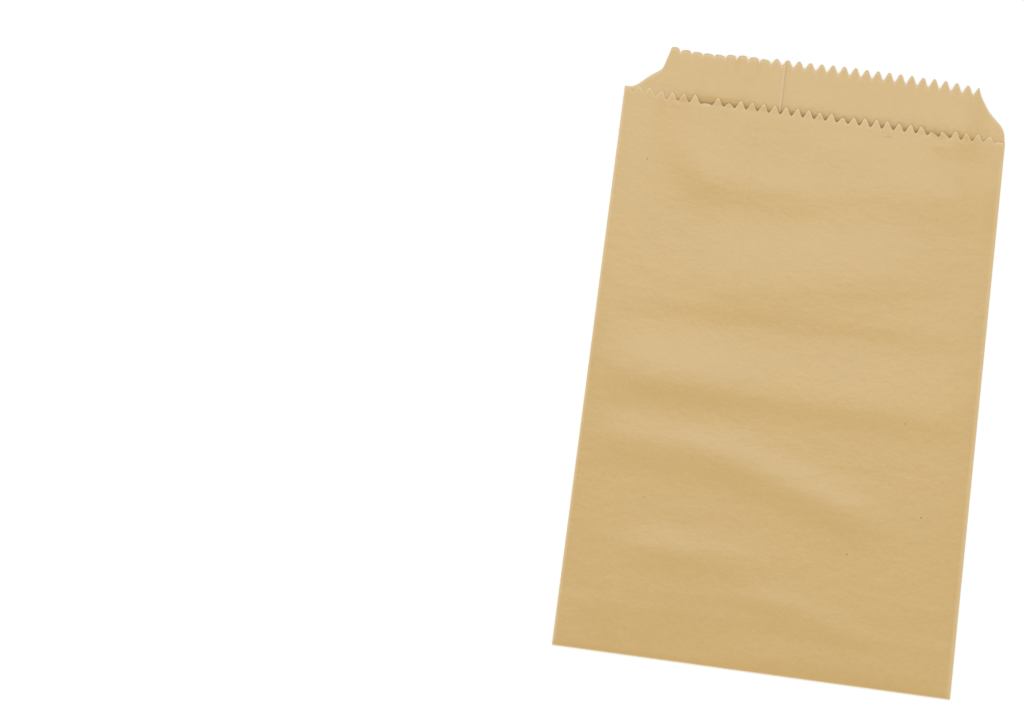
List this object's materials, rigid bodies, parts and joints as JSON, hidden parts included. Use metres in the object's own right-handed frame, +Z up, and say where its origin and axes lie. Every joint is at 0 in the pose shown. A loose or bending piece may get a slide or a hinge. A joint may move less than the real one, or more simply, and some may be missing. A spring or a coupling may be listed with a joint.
{
  "type": "flat paper bag",
  "caption": "Flat brown kraft paper bag without gussets, with a serrated mouth, a taller serrated back lip, a lap seam and a glued bottom flap.",
  "frame": {"origin": "on the surface that the bag lies on, below the middle of the whole bag", "axes": "+X across the bag, to the right when the plain front panel is seen with its mouth upwards; +Y along the bag, from the folded bottom to the mouth; +Z up, out of the front panel"},
  "size_m": [0.127, 0.2082, 0.0021],
  "materials": {
    "kraft_paper": "matte"
  },
  "bodies": {
    "root": {"paper_bag": "kraft_paper"}
  },
  "joints": []
}
